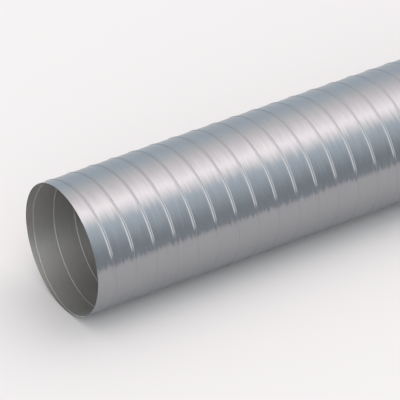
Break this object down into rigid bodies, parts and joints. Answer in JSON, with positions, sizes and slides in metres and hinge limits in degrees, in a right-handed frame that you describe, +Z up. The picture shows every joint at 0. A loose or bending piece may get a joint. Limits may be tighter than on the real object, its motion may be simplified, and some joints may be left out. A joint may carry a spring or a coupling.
{
  "type": "spiral-wound flexible aluminium duct",
  "caption": "Straight length of flexible aluminium duct, wound from strip on a helix with a folded lock seam, open at both square-cut ends.",
  "frame": {"origin": "on the floor, under the middle of the duct", "axes": "+X along the duct away from the open end that the picture shows, +Z up, +Y across"},
  "size_m": [1, 0.1524, 0.1525],
  "materials": {
    "aluminium_strip": "mill finish, fine rolling lines along the strip"
  },
  "bodies": {
    "root": {"spiral_duct": "aluminium_strip"}
  },
  "joints": []
}
